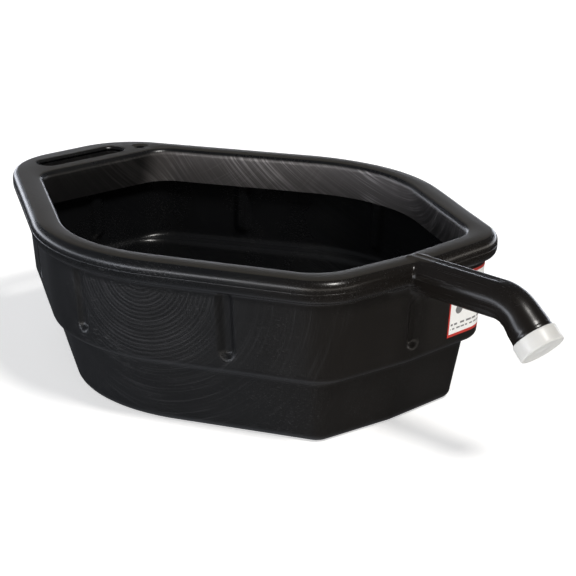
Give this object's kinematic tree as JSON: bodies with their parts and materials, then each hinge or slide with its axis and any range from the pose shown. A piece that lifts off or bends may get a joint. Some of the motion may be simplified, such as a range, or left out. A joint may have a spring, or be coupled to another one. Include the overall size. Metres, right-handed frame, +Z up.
{
  "type": "oil drain pan",
  "caption": "Elongated six-sided hollow-walled drain pan with splash rim, finger slot handle and bent pouring spout closed by a screw cap.",
  "frame": {"origin": "centre of the flat underside, midway between the rim's handle end and spout end, on the floor", "axes": "+X from the handle towards the spout, +Y to the left of the spout, +Z up out of the open top"},
  "size_m": [0.6347, 0.3794, 0.1545],
  "materials": {
    "black_hdpe": "semi-gloss black blow-moulded polyethylene with fine scuffs and flow marks",
    "white_pp": "smooth white injection-moulded polypropylene",
    "liner_foam": "matt foamed polyethylene",
    "label_film": null
  },
  "bodies": {
    "pan": {"pan_body": "black_hdpe", "spout": "black_hdpe", "label": "label_film"},
    "liner": {"cap_liner": "liner_foam"},
    "cap": {"screw_cap": "white_pp"}
  },
  "joints": [
    {"name": "cap_lift", "type": "slide", "parent": "pan", "child": "liner", "axis": [0.7071, 0, -0.7071], "range_m": [0, 0.00634]},
    {"name": "cap_turn", "type": "hinge", "parent": "liner", "child": "cap", "pos_m": [0.36626, 0, 0.11772], "axis": [0.7071, 0, -0.7071], "range_deg": [0, 540]}
  ],
  "couplings": [
    {"joint": "cap_turn", "follows": "cap_lift", "rad_per_m": 1485.4}
  ]
}
